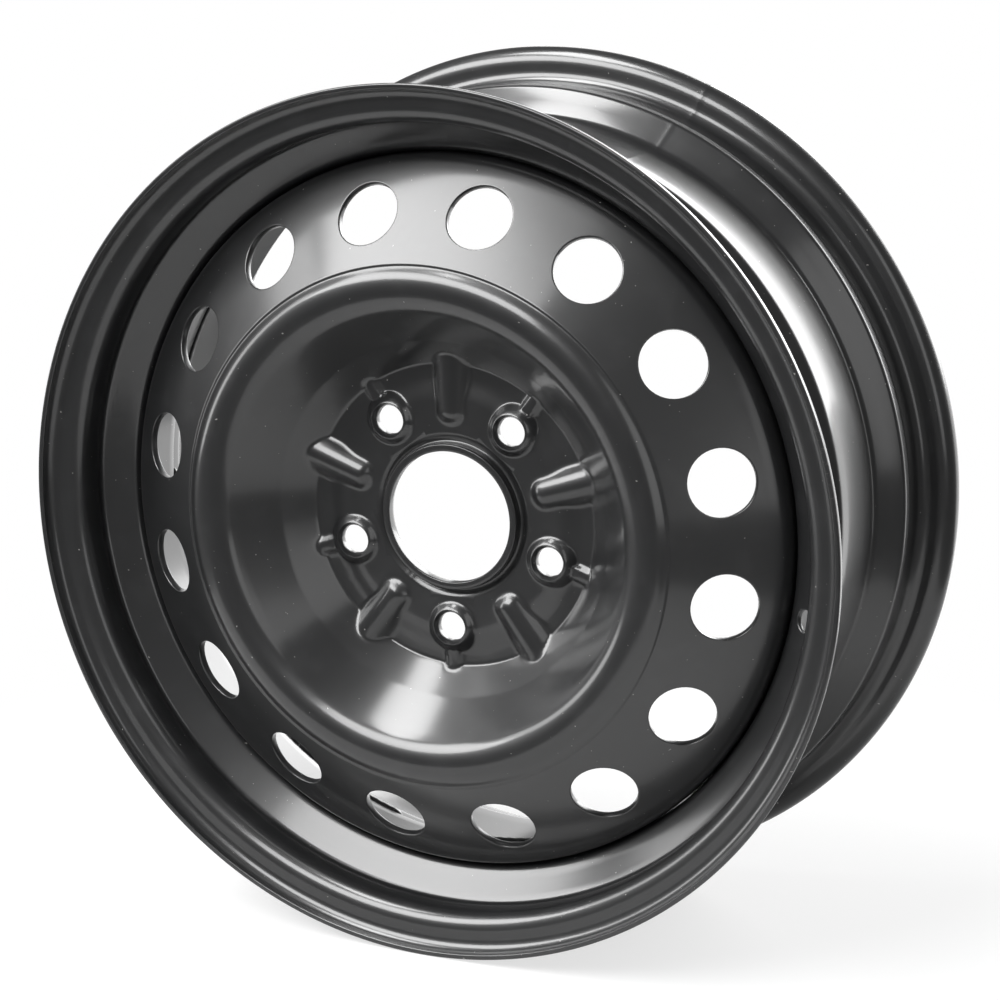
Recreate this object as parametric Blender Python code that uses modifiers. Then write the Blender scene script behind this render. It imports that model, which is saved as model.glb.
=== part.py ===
# Pressed steel wheel rim for a passenger car, 6J x 16 with five bolts on a 114.3 mm circle.
# Units are metres. The spin axis is world Y, the outboard face looks along -Y and +Z is up.
# Each piece is drawn lying on its back, with its turning axis on local Z and the outboard side up.
# The empty named wheel_axis then turns all of them upright. A section point is (radius, height),
# and its height is the distance outboard of the wheel's centre plane.

import math

import bmesh
import bpy

# Round pieces

STEPS = 48
ROUND_SIDES = 20
MERGE = 0.0001
FIT_GAP = 0.0003

# Tyre side of the rim hoop

RIM_WIDTH = 0.1524
BEAD_SEAT_RADIUS = 0.2028
FLANGE_HEIGHT = 0.01735
CURL_RADIUS = 0.0090
CURL_PAST_CROWN = math.radians(8)
HEEL_RADIUS = 0.0065
SEAT_TAPER = math.radians(5)
RIM_SHEET = 0.0026
HUMP_FOOT_OFFSET = 0.0132
HUMP_HEIGHT = 0.0018
HUMP_RISE_LENGTH = 0.0060
HUMP_RADIUS = 0.0060
REAR_HUMP_TOP_LENGTH = 0.0055
WELL_DEPTH = 0.0177
WELL_SLOPE = math.radians(57)
WELL_BEND_RADIUS = 0.0050
WELL_BASE_LENGTH = 0.0370
LEDGE_RISE = 0.0049
LEDGE_SLOPE = math.radians(40)
REAR_SLOPE = math.radians(54)

# Pressed disc

DISC_SHEET = 0.0036
OFFSET = 0.0430
BORE_RADIUS = 0.03355
COLLAR_HEIGHT = 0.0055
COLLAR_FOOT_RADIUS = 0.0015
INNER_LAND_RADIUS = 0.0435
BOLT_LAND_RISE = 0.0013
BOLT_LAND_RAMP = 0.0030
BOLT_LAND_RADIUS = 0.0580
OUTER_LAND_RADIUS = 0.0690
HUB_RADIUS = 0.0775
HUB_CORNER_RADIUS = 0.0025
BOWL_BEND_RUN = 0.0135
BOWL_BEND_HEIGHT = 0.0607
BOWL_BLEND_RADIUS = 0.0400
BOWL_TOP_SLOPE = math.radians(49)
CROWN_RADIUS = 0.1200
CROWN_HEIGHT = 0.0860
CROWN_BLEND_RADIUS = 0.0160
CROWN_FALL = math.radians(35)
GROOVE_RADIUS = 0.1312
GROOVE_WIDTH = 0.0015
CONE_SLOPE = math.radians(32.7)
SHOULDER_RADIUS = 0.0090
FLANGE_END_HEIGHT = 0.0200

# Bolt seats

BOLT_COUNT = 5
BOLT_CIRCLE_RADIUS = 0.05715
FIRST_BOLT_ANGLE = math.radians(-90)
BOLT_HOLE_RADIUS = 0.0074
SEAT_MOUTH_RADIUS = 0.0094
SEAT_HALF_ANGLE = math.radians(30)
BOSS_BASE_RADIUS = 0.0145
BOSS_TOP_RADIUS = 0.0104
BOSS_HEIGHT = 0.0034
BOLT_RELIEF_RADIUS = 0.0115
BOLT_RELIEF_DEPTH = 0.0012
BRIDGE_HALF_WIDTH = 0.0030
BRIDGE_HEIGHT = 0.0024

# Stiffening ribs, midway between the bolts

RIB_TOE_RADIUS = 0.0445
RIB_TOE_LENGTH = 0.0090
RIB_HEIGHT = 0.0063
RIB_HALF_WIDTH = 0.0088
RIB_FLARE = 0.0030
RIB_INSET_SHARE = 0.8

# Openings through the sheet

VENT_COUNT = 16
VENT_RADIUS = 0.0167
VENT_CIRCLE_RADIUS = 0.1567
VENT_PHASE = math.radians(-9.2)
VALVE_HOLE_RADIUS = 0.00565
VALVE_ANGLE = VENT_PHASE

# Weld beads between the disc's flange and the well

WELD_COUNT = 8
WELD_RADIUS = 0.0022
WELD_STEPS = 4

# Places that follow from the sizes above

HALF_WIDTH = RIM_WIDTH / 2
RIM_CROWN_RADIUS = BEAD_SEAT_RADIUS + FLANGE_HEIGHT
WELL_RADIUS = BEAD_SEAT_RADIUS - WELL_DEPTH
LEDGE_RADIUS = WELL_RADIUS + LEDGE_RISE
WELL_INNER_RADIUS = WELL_RADIUS - RIM_SHEET
FLANGE_OUTER_RADIUS = WELL_INNER_RADIUS - FIT_GAP
BOWL_BEND_RADIUS = HUB_RADIUS + BOWL_BEND_RUN
HUB_FACE_HEIGHT = OFFSET + DISC_SHEET
BOLT_LAND_HEIGHT = HUB_FACE_HEIGHT + BOLT_LAND_RISE
BOSS_TOP_HEIGHT = BOLT_LAND_HEIGHT + BOSS_HEIGHT
HUMP_TOP_RADIUS = BEAD_SEAT_RADIUS - HUMP_FOOT_OFFSET * math.tan(SEAT_TAPER) + HUMP_HEIGHT
CUT_MARGIN = 0.0100


def clear_scene():
    for item in list(bpy.data.objects):
        bpy.data.objects.remove(item, do_unlink=True)


def make_collection(name):
    group = bpy.data.collections.new(name)
    bpy.context.scene.collection.children.link(group)
    return group


def make_material(name, colour, roughness, metallic):
    material = bpy.data.materials.new(name)
    material.use_nodes = True
    shader = material.node_tree.nodes["Principled BSDF"]
    shader.inputs["Base Color"].default_value = (*colour, 1.0)
    shader.inputs["Roughness"].default_value = roughness
    shader.inputs["Metallic"].default_value = metallic
    return material


# A section is a list of corners (radius, height, bend radius, bend segments).


def unit(start, end):
    length = math.dist(start, end)
    return (end[0] - start[0]) / length, (end[1] - start[1]) / length


def turn_angle(before, after):
    cross = before[0] * after[1] - before[1] * after[0]
    dot = before[0] * after[0] + before[1] * after[1]
    return math.atan2(cross, dot)


def bend_points(previous, corner, following):
    # The arc that rounds one corner, as points from its first tangent point to its last.
    place = corner[:2]
    bend, segments = corner[2:]
    if bend == 0:
        return [place]
    into = unit(previous[:2], place)
    out = unit(place, following[:2])
    turn = turn_angle(into, out)
    tangent = bend * math.tan(abs(turn) / 2)
    start = (place[0] - into[0] * tangent, place[1] - into[1] * tangent)
    side = math.copysign(1, turn)
    centre = (start[0] - into[1] * side * bend, start[1] + into[0] * side * bend)
    points = []
    for index in range(segments + 1):
        angle = turn * index / segments
        arm = (start[0] - centre[0], start[1] - centre[1])
        across = arm[0] * math.cos(angle) - arm[1] * math.sin(angle)
        along = arm[0] * math.sin(angle) + arm[1] * math.cos(angle)
        points.append((centre[0] + across, centre[1] + along))
    return points


def rounded_path(corners):
    points = [corners[0][:2]]
    for index in range(1, len(corners) - 1):
        points += bend_points(corners[index - 1], corners[index], corners[index + 1])
    points.append(corners[-1][:2])
    return points


def offset_corners(corners, distance):
    # The other side of a sheet: each corner moves along its mitre, and each bend keeps its centre.
    moved = []
    for index, corner in enumerate(corners):
        place = corner[:2]
        before = corners[max(index - 1, 0)][:2]
        after = corners[min(index + 1, len(corners) - 1)][:2]
        into = unit(before, place) if index > 0 else unit(place, after)
        out = unit(place, after) if index < len(corners) - 1 else into
        turn = turn_angle(into, out)
        mitre = math.tan(turn / 2)
        radius = place[0] + distance * (into[1] - into[0] * mitre * -1)
        height = place[1] - distance * (into[0] + into[1] * mitre * -1)
        bend = max(corner[2] + math.copysign(distance, turn), 0) if corner[2] else 0
        moved.append((radius, height, bend, corner[3]))
    return moved


def turned(name, points, closed, group):
    # A section in the XZ plane, turned about Z by a Screw modifier.
    mesh = bpy.data.meshes.new(name)
    edges = [(index, index + 1) for index in range(len(points) - 1)]
    if closed:
        edges.append((len(points) - 1, 0))
    mesh.from_pydata([(radius, 0, height) for radius, height in points], edges, [])
    item = bpy.data.objects.new(name, mesh)
    group.objects.link(item)
    screw = item.modifiers.new("turn", "SCREW")
    screw.axis = "Z"
    screw.steps = STEPS
    screw.render_steps = STEPS
    screw.use_merge_vertices = True
    screw.merge_threshold = MERGE
    screw.use_smooth_shade = True
    return item


def cut_or_join(target, tool, operation):
    modifier = target.modifiers.new(tool.name, "BOOLEAN")
    modifier.operation = operation
    modifier.solver = "EXACT"
    modifier.object = tool


def mark_as_tool(item):
    item.hide_render = True
    item.display_type = "WIRE"


def around_axis(angle, radius, height):
    return (radius * math.cos(angle), radius * math.sin(angle), height)


# Rim hoop


def flange_path(side):
    # From the cut edge over the crown and down the vertical face to the bead seat.
    centre_radius = RIM_CROWN_RADIUS - CURL_RADIUS
    centre_height = HALF_WIDTH + CURL_RADIUS
    segments = 5
    sweep = CURL_PAST_CROWN + math.pi / 2
    points = []
    for index in range(segments + 1):
        angle = CURL_PAST_CROWN - sweep * index / segments
        radius = centre_radius + CURL_RADIUS * math.cos(angle)
        points.append((radius, side * (centre_height + CURL_RADIUS * math.sin(angle))))
    return points


def seat_corners(side):
    # The bead seat and the foot of its hump, from the flange towards the well.
    foot_radius = BEAD_SEAT_RADIUS - HUMP_FOOT_OFFSET * math.tan(SEAT_TAPER)
    foot_height = HALF_WIDTH - HUMP_FOOT_OFFSET
    return [
        (RIM_CROWN_RADIUS - CURL_RADIUS, side * HALF_WIDTH, 0, 0),
        (BEAD_SEAT_RADIUS, side * HALF_WIDTH, HEEL_RADIUS, 2),
        (foot_radius, side * foot_height, 0, 0),
    ]


def rim_path():
    hump_height = HALF_WIDTH - HUMP_FOOT_OFFSET - HUMP_RISE_LENGTH
    drop = HUMP_TOP_RADIUS - WELL_RADIUS
    well_start = hump_height - drop / math.tan(WELL_SLOPE)
    well_end = well_start - WELL_BASE_LENGTH
    ledge_start = well_end - (LEDGE_RADIUS - WELL_RADIUS) / math.tan(LEDGE_SLOPE)
    rear_top = REAR_HUMP_TOP_LENGTH - hump_height
    ledge_end = rear_top + (HUMP_TOP_RADIUS - LEDGE_RADIUS) / math.tan(REAR_SLOPE)
    middle = [
        (HUMP_TOP_RADIUS, hump_height, HUMP_RADIUS, 2),
        (WELL_RADIUS, well_start, WELL_BEND_RADIUS, 2),
        (WELL_RADIUS, well_end, 0, 0),
        (LEDGE_RADIUS, ledge_start, 0, 0),
        (LEDGE_RADIUS, ledge_end, WELL_BEND_RADIUS, 2),
        (HUMP_TOP_RADIUS, rear_top, HUMP_RADIUS, 2),
        (HUMP_TOP_RADIUS, -hump_height, 0, 0),
    ]
    front = flange_path(1)[:-1]
    rear = flange_path(-1)[:-1]
    corners = seat_corners(1) + middle + seat_corners(-1)[::-1]
    return front + rounded_path(corners) + rear[::-1]


def valve_hole_cutter(group):
    # A drill square to the well's outboard slope, halfway up it.
    hump_height = HALF_WIDTH - HUMP_FOOT_OFFSET - HUMP_RISE_LENGTH
    middle_radius = (HUMP_TOP_RADIUS + WELL_RADIUS) / 2
    middle_height = hump_height - (HUMP_TOP_RADIUS - middle_radius) / math.tan(WELL_SLOPE)
    bpy.ops.mesh.primitive_cylinder_add(
        vertices=ROUND_SIDES, radius=VALVE_HOLE_RADIUS, depth=2 * CUT_MARGIN
    )
    cutter = bpy.context.object
    cutter.name = "valve_hole_drill"
    cutter.location = around_axis(VALVE_ANGLE, middle_radius, middle_height)
    cutter.rotation_euler = (0, WELL_SLOPE - math.pi / 2 + math.pi, VALVE_ANGLE)
    move_to(cutter, group)
    mark_as_tool(cutter)
    return cutter


def move_to(item, group):
    for owner in list(item.users_collection):
        owner.objects.unlink(item)
    group.objects.link(item)


def build_rim(parts, tools, paint):
    rim = turned("rim_hoop", rim_path(), False, parts)
    shell = rim.modifiers.new("sheet", "SOLIDIFY")
    shell.thickness = RIM_SHEET
    shell.offset = -1
    shell.use_even_offset = True
    shell.use_quality_normals = True
    cut_or_join(rim, valve_hole_cutter(tools), "DIFFERENCE")
    rim.data.materials.append(paint)
    return rim


# Pressed disc


def crown_corner():
    # The point where the bowl's wall and the crown's outer fall would meet without a blend.
    middle = (BOWL_TOP_SLOPE - CROWN_FALL) / 2
    spread = (BOWL_TOP_SLOPE + CROWN_FALL) / 2
    reach = CROWN_BLEND_RADIUS / math.cos(spread)
    centre_height = CROWN_HEIGHT - CROWN_BLEND_RADIUS
    return CROWN_RADIUS - reach * math.sin(middle), centre_height + reach * math.cos(middle)


def sheet_corners():
    # The outboard face of the disc from the collar's top edge to the end of its flange. The crown
    # falls to a shallow groove, whose outer side rises to the cone that carries the vent holes.
    crown = crown_corner()
    wall = math.dist(crown, (BOWL_BEND_RADIUS, BOWL_BEND_HEIGHT))
    shoulder_height = crown[1] - (FLANGE_OUTER_RADIUS - crown[0]) * math.tan(CONE_SLOPE)
    collar_wall = BORE_RADIUS + DISC_SHEET
    groove_height = crown[1] - (GROOVE_RADIUS - crown[0]) * math.tan(CROWN_FALL)
    cone_radius = GROOVE_RADIUS + GROOVE_WIDTH
    cone_height = crown[1] - (cone_radius - crown[0]) * math.tan(CONE_SLOPE)
    return [
        (collar_wall, HUB_FACE_HEIGHT + COLLAR_HEIGHT, 0, 0),
        (collar_wall, HUB_FACE_HEIGHT, COLLAR_FOOT_RADIUS, 2),
        (INNER_LAND_RADIUS, HUB_FACE_HEIGHT, 0, 0),
        (INNER_LAND_RADIUS + BOLT_LAND_RAMP, BOLT_LAND_HEIGHT, 0, 0),
        (BOLT_LAND_RADIUS, BOLT_LAND_HEIGHT, 0, 0),
        (OUTER_LAND_RADIUS, HUB_FACE_HEIGHT, 0, 0),
        (HUB_RADIUS, HUB_FACE_HEIGHT, HUB_CORNER_RADIUS, 2),
        (BOWL_BEND_RADIUS, BOWL_BEND_HEIGHT, min(BOWL_BLEND_RADIUS, wall), 2),
        (*crown, CROWN_BLEND_RADIUS, 5),
        (GROOVE_RADIUS, groove_height, 0, 0),
        (cone_radius, cone_height, 0, 0),
        (FLANGE_OUTER_RADIUS, shoulder_height, SHOULDER_RADIUS, 3),
        (FLANGE_OUTER_RADIUS, FLANGE_END_HEIGHT, 0, 0),
    ]


def loft(name, rings, group):
    # A closed solid through rings of equal point counts, capped at both ends.
    shape = bmesh.new()
    loops = [[shape.verts.new(point) for point in ring] for ring in rings]
    for ring, following in zip(loops, loops[1:]):
        for index in range(len(ring)):
            after = (index + 1) % len(ring)
            shape.faces.new((ring[index], ring[after], following[after], following[index]))
    shape.faces.new(loops[0][::-1])
    shape.faces.new(loops[-1])
    bmesh.ops.recalc_face_normals(shape, faces=shape.faces)
    mesh = bpy.data.meshes.new(name)
    shape.to_mesh(mesh)
    shape.free()
    item = bpy.data.objects.new(name, mesh)
    group.objects.link(item)
    return item


def ridge_rings(angle, base, toe, reach, toe_length, half_width, flare, height, sides):
    # Elliptical rings along a radial line, centred at the base height: a rounded toe, then a
    # slowly widening back.
    toe_steps = 4
    stations = []
    for index in range(1, toe_steps + 1):
        swing = math.pi / 2 * index / toe_steps
        stations.append((toe + toe_length * (1 - math.cos(swing)), math.sin(swing)))
    stations.append((reach, 1))
    rings = []
    for radius, fullness in stations:
        wide = (half_width + flare * (radius - toe) / (reach - toe)) * fullness
        ring = []
        for side in range(sides):
            round_angle = 2 * math.pi * side / sides
            across = wide * math.cos(round_angle)
            rise = base + height * fullness * math.sin(round_angle)
            ring.append((
                radius * math.cos(angle) - across * math.sin(angle),
                radius * math.sin(angle) + across * math.cos(angle),
                rise,
            ))
        rings.append(ring)
    return rings


def join_all(items, name):
    # Separate closed shapes kept as one mesh, so that one Boolean takes them together.
    whole = bmesh.new()
    for item in items:
        item.data.transform(item.matrix_basis)
        whole.from_mesh(item.data)
    mesh = bpy.data.meshes.new(name)
    whole.to_mesh(mesh)
    whole.free()
    group = items[0].users_collection[0]
    for item in items:
        bpy.data.objects.remove(item, do_unlink=True)
    joined = bpy.data.objects.new(name, mesh)
    group.objects.link(joined)
    mark_as_tool(joined)
    return joined


def bolt_angles():
    return [FIRST_BOLT_ANGLE + 2 * math.pi * index / BOLT_COUNT for index in range(BOLT_COUNT)]


def bolt_cones(radius_low, radius_high, low, high, name, group):
    # One upright cone or cylinder on each bolt's centre, all in one mesh.
    cones = []
    for angle in bolt_angles():
        bpy.ops.mesh.primitive_cone_add(
            vertices=ROUND_SIDES, radius1=radius_low, radius2=radius_high, depth=high - low
        )
        item = bpy.context.object
        item.location = around_axis(angle, BOLT_CIRCLE_RADIUS, (low + high) / 2)
        move_to(item, group)
        cones.append(item)
    return join_all(cones, name)


def boss_tool(group):
    # Each boss continues its slope down into the sheet, so that it joins the land cleanly.
    slope = (BOSS_BASE_RADIUS - BOSS_TOP_RADIUS) / BOSS_HEIGHT
    low = HUB_FACE_HEIGHT
    base = BOSS_BASE_RADIUS + slope * (BOLT_LAND_HEIGHT - low)
    return bolt_cones(base, BOSS_TOP_RADIUS, low, BOSS_TOP_HEIGHT, "bolt_bosses", group)


def bridge_tool(group):
    # A narrow ridge from each boss to the foot of the bowl.
    toe = BOLT_CIRCLE_RADIUS + BOSS_TOP_RADIUS
    reach = HUB_RADIUS + BRIDGE_HALF_WIDTH
    bridges = []
    for angle in bolt_angles():
        rings = ridge_rings(
            angle,
            HUB_FACE_HEIGHT,
            toe,
            reach,
            BRIDGE_HALF_WIDTH,
            BRIDGE_HALF_WIDTH,
            0,
            BRIDGE_HEIGHT,
            8,
        )
        bridges.append(loft("bridge", rings, group))
    return join_all(bridges, "boss_bridges")


def rib_tool(group, base, inset, name):
    # The outboard form of the ribs has no inset and stands on the outboard face. The channel
    # behind them has the same height above the mounting face and is narrower by its inset.
    ribs = []
    for bolt in bolt_angles():
        rings = ridge_rings(
            bolt + math.pi / BOLT_COUNT,
            base,
            RIB_TOE_RADIUS + inset,
            BOWL_BEND_RADIUS,
            RIB_TOE_LENGTH,
            RIB_HALF_WIDTH - inset,
            RIB_FLARE,
            RIB_HEIGHT,
            12,
        )
        ribs.append(loft("rib", rings, group))
    return join_all(ribs, name)


def relief_tool(group):
    # A shallow round recess in the mounting face behind each bolt hole.
    low = OFFSET - CUT_MARGIN
    high = OFFSET + BOLT_LAND_RISE + BOLT_RELIEF_DEPTH
    return bolt_cones(BOLT_RELIEF_RADIUS, BOLT_RELIEF_RADIUS, low, high, "bolt_reliefs", group)


def seat_tool(group):
    # The tapered seat runs down to the bolt hole, and both are cut a little past the boss.
    slope = math.tan(SEAT_HALF_ANGLE)
    depth = (SEAT_MOUTH_RADIUS - BOLT_HOLE_RADIUS) / slope
    low = BOSS_TOP_HEIGHT - depth
    high = BOSS_TOP_HEIGHT + FIT_GAP
    mouth = SEAT_MOUTH_RADIUS + slope * FIT_GAP
    return bolt_cones(BOLT_HOLE_RADIUS, mouth, low, high, "bolt_seats", group)


def bolt_hole_tool(group):
    low = OFFSET - CUT_MARGIN
    return bolt_cones(BOLT_HOLE_RADIUS, BOLT_HOLE_RADIUS, low, BOSS_TOP_HEIGHT, "bolt_holes", group)


def vent_tool(group):
    # Round punches square to the cone that carries the vent holes.
    crown = crown_corner()
    height = crown[1] - (VENT_CIRCLE_RADIUS - crown[0]) * math.tan(CONE_SLOPE)
    punches = []
    for index in range(VENT_COUNT):
        angle = VENT_PHASE + 2 * math.pi * index / VENT_COUNT
        bpy.ops.mesh.primitive_cylinder_add(
            vertices=ROUND_SIDES, radius=VENT_RADIUS, depth=2 * CUT_MARGIN
        )
        punch = bpy.context.object
        punch.location = around_axis(angle, VENT_CIRCLE_RADIUS, height)
        punch.rotation_euler = (0, CONE_SLOPE, angle)
        move_to(punch, group)
        punches.append(punch)
    return join_all(punches, "vent_punches")


def turned_disc(parts, tools):
    # The pressed sheet is the die's form, filled below, less the punch that backs it. The
    # punch's pilot forms the bore.
    outer = sheet_corners()
    inner = offset_corners(outer, DISC_SHEET)
    top = outer[0][1]
    low = FLANGE_END_HEIGHT - CUT_MARGIN
    core = BORE_RADIUS - DISC_SHEET
    die_section = [(core, FLANGE_END_HEIGHT), (core, top)] + rounded_path(outer)
    disc = turned("wheel_disc", die_section, True, parts)
    pilot = core - DISC_SHEET
    inner[0] = (inner[0][0], top + CUT_MARGIN, 0, 0)
    inner[-1] = (inner[-1][0], low, 0, 0)
    punch_section = [(pilot, low), (pilot, top + CUT_MARGIN)] + rounded_path(inner)
    punch = turned("disc_punch", punch_section, True, tools)
    mark_as_tool(punch)
    return disc, punch


def build_disc(parts, tools, paint):
    disc, punch = turned_disc(parts, tools)
    rib_inset = RIB_INSET_SHARE * DISC_SHEET
    cut_or_join(disc, rib_tool(tools, HUB_FACE_HEIGHT, 0, "rib_forms"), "UNION")
    cut_or_join(disc, boss_tool(tools), "UNION")
    cut_or_join(disc, bridge_tool(tools), "UNION")
    cut_or_join(disc, punch, "DIFFERENCE")
    cut_or_join(disc, rib_tool(tools, OFFSET, rib_inset, "rib_hollows"), "DIFFERENCE")
    cut_or_join(disc, relief_tool(tools), "DIFFERENCE")
    cut_or_join(disc, bolt_hole_tool(tools), "DIFFERENCE")
    cut_or_join(disc, seat_tool(tools), "DIFFERENCE")
    cut_or_join(disc, vent_tool(tools), "DIFFERENCE")
    disc.data.materials.append(paint)
    return disc


# Weld beads


def build_welds(parts, paint):
    # Short round beads in the corner between the flange's end and the well, laid along the facets.
    circle_radius = WELL_INNER_RADIUS - FIT_GAP - WELD_RADIUS
    height = FLANGE_END_HEIGHT - FIT_GAP - WELD_RADIUS
    beads = []
    for number in range(WELD_COUNT):
        first = STEPS // WELD_COUNT * number
        name = f"weld_bead_{number + 1}"
        curve = bpy.data.curves.new(name, "CURVE")
        curve.dimensions = "3D"
        curve.bevel_depth = WELD_RADIUS
        curve.bevel_resolution = 2
        curve.use_fill_caps = True
        line = curve.splines.new("POLY")
        line.points.add(WELD_STEPS)
        for index in range(WELD_STEPS + 1):
            angle = 2 * math.pi * (first + index) / STEPS
            line.points[index].co = (*around_axis(angle, circle_radius, height), 1)
        bead = bpy.data.objects.new(name, curve)
        parts.objects.link(bead)
        curve.materials.append(paint)
        beads.append(bead)
    return beads


def main():
    clear_scene()
    parts = make_collection("steel_wheel_rim")
    tools = make_collection("cutting_tools")
    paint = make_material("black_paint", (0.018, 0.018, 0.019), 0.32, 0.0)
    upright = bpy.data.objects.new("wheel_axis", None)
    parts.objects.link(upright)
    upright.rotation_euler = (math.pi / 2, 0, 0)
    pieces = [build_rim(parts, tools, paint), build_disc(parts, tools, paint)]
    pieces += build_welds(parts, paint)
    for piece in pieces:
        piece.parent = upright
    for tool in tools.objects:
        tool.parent = upright


main()
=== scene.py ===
import math

import bpy
import numpy as np
from mathutils import Matrix, Vector


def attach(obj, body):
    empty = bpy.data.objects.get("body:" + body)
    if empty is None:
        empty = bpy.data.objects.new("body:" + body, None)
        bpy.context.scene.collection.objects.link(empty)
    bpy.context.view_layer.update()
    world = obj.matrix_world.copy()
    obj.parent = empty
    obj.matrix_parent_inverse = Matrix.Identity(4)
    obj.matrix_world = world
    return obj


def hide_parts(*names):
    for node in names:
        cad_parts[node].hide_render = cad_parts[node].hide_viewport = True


# Steel wheel rim standing upright. The wheel turns about Y, the street side faces -Y, +Z is up.
# Section points are (radius, height), and height is the distance outboard of the centre plane.

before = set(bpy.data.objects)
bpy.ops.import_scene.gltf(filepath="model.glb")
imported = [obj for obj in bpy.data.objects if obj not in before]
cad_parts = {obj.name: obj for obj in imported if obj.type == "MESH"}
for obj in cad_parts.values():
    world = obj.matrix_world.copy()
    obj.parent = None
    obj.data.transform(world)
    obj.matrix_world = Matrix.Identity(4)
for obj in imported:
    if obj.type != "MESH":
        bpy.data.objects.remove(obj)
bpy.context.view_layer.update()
scene = bpy.context.scene
mm = 0.001
degree = math.pi / 180
tiny = 1e-6

# camera and view

cameraSet = {
    "azimuth": 25.96 * degree,
    "elevation": 13.89 * degree,
    "roll": 0.30 * degree,
    "distance": 1.765,
    "focal": 3450,  # pixels
    "centre": (494.4, 494.7),  # where the wheel's centre falls, pixels
    "picture": 1000,
    "sensor": 36,
    "farthest": 50,
}


def addCamera(s):
    az, el, roll = s["azimuth"], s["elevation"], s["roll"]
    back = Vector((math.sin(az) * math.cos(el), -math.cos(az) * math.cos(el), math.sin(el)))
    right = (-back).cross(Vector((0, 0, 1))).normalized()
    down = (-back).cross(right)
    acrossAxis = math.cos(roll) * right + math.sin(roll) * down
    downAxis = -math.sin(roll) * right + math.cos(roll) * down
    shiftX, shiftY = [(c - s["picture"] / 2) * s["distance"] / s["focal"] for c in s["centre"]]
    place = s["distance"] * back - shiftX * acrossAxis - shiftY * downAxis
    data = bpy.data.cameras.new("wheelCamera")
    data.sensor_width = s["sensor"]
    data.lens = s["focal"] / s["picture"] * s["sensor"]
    data.clip_end = s["farthest"]
    camera = bpy.data.objects.new("wheelCamera", data)
    scene.collection.objects.link(camera)
    turn = Matrix((acrossAxis, -downAxis, back)).transposed().to_4x4()
    camera.matrix_world = Matrix.Translation(place) @ turn
    scene.camera = camera


addCamera(cameraSet)
print("camera placed")

# small modelling helpers


def deselectAll():
    for item in bpy.context.selected_objects:
        item.select_set(False)


def pick(item, *others):
    deselectAll()
    for chosen in (item, *others):
        chosen.select_set(True)
    bpy.context.view_layer.objects.active = item


def editMode(on=True):
    bpy.ops.object.mode_set(mode="EDIT" if on else "OBJECT")


def selectAll(on=True):
    bpy.ops.mesh.select_all(action="SELECT" if on else "DESELECT")


def coordinates(item):
    editMode(False)
    flat = np.empty(len(item.data.vertices) * 3)
    item.data.vertices.foreach_get("co", flat)
    return flat.reshape(-1, 3)


def setCoordinates(item, points):
    item.data.vertices.foreach_set("co", np.asarray(points, float).ravel())
    item.data.update()


def selectParts(item, kind, chosen):
    # the marks are set on the mesh in object mode, then edit mode takes them over
    editMode(False)
    mesh = item.data
    for part in (mesh.vertices, mesh.edges, mesh.polygons):
        part.foreach_set("select", np.zeros(len(part), bool))
    part = mesh.vertices if kind == "VERT" else mesh.polygons
    part.foreach_set("select", np.asarray(chosen, bool))
    editMode()
    bpy.ops.mesh.select_mode(type=kind)


def faceValues(item, name):
    # "center" or "normal" of every face
    flat = np.empty(len(item.data.polygons) * 3)
    item.data.polygons.foreach_get(name, flat)
    return flat.reshape(-1, 3)


def startPoint(name, place):
    # a plane merged to one point, the start of an extruded line
    deselectAll()
    bpy.ops.mesh.primitive_plane_add(size=mm)
    item = bpy.context.object
    item.name = name
    editMode()
    bpy.ops.mesh.select_mode(type="VERT")
    selectAll()
    bpy.ops.mesh.merge(type="CENTER")
    bpy.ops.transform.translate(value=place)
    return item


def drawLine(name, points):
    item = startPoint(name, points[0])
    for before, after in zip(points, points[1:]):
        step = [b - a for a, b in zip(before, after)]
        bpy.ops.mesh.extrude_region_move(TRANSFORM_OT_translate={"value": step})
    selectAll()
    return item


def openVerts(item):
    # points on edges that have fewer than two faces
    editMode(False)
    edges = item.data.edges
    used = np.empty(len(item.data.loops), int)
    item.data.loops.foreach_get("edge_index", used)
    uses = np.bincount(used, minlength=len(edges))
    ends = np.empty(len(edges) * 2, int)
    edges.foreach_get("vertices", ends)
    chosen = np.zeros(len(item.data.vertices), bool)
    chosen[ends.reshape(-1, 2)[uses < 2].ravel()] = True
    return chosen


def distances(item, centre):
    return np.linalg.norm(coordinates(item) - np.array(centre), axis=1)


def aboutAxis(radius, height, angle):
    # section points at their angles round the wheel
    height = height + 0 * angle
    return np.stack((radius * np.cos(angle), -height, radius * np.sin(angle)), axis=1)


def turned(points, angle):
    x, z = points[:, 0], points[:, 2]
    newX = x * math.cos(angle) - z * math.sin(angle)
    newZ = x * math.sin(angle) + z * math.cos(angle)
    return np.stack((newX, points[:, 1], newZ), axis=1)


def spinRound(steps, angle=2 * math.pi, copies=False):
    bpy.ops.mesh.spin(steps=steps, angle=angle, center=(0, 0, 0), axis=(0, 1, 0), dupli=copies)


def mergeClose(distance=0.01 * mm):
    selectAll()
    bpy.ops.mesh.remove_doubles(threshold=distance)


def turnFacesOut():
    selectAll()
    bpy.ops.mesh.normals_make_consistent(inside=False)


def giveThickness(item, thickness, even):
    shell = item.modifiers.new("sheet", "SOLIDIFY")
    shell.thickness = thickness
    shell.offset = -1
    shell.use_even_offset = even
    shell.use_quality_normals = even
    bpy.context.view_layer.objects.active = item
    bpy.ops.object.modifier_apply(modifier=shell.name)


def roundSharpEdges(width, segments, angle=60 * degree):
    editMode()
    bpy.ops.mesh.select_mode(type="EDGE")
    selectAll(False)
    bpy.ops.mesh.edges_select_sharp(sharpness=angle)
    bpy.ops.mesh.bevel(offset=width, segments=segments, affect="EDGES", clamp_overlap=False)
    editMode(False)


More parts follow.
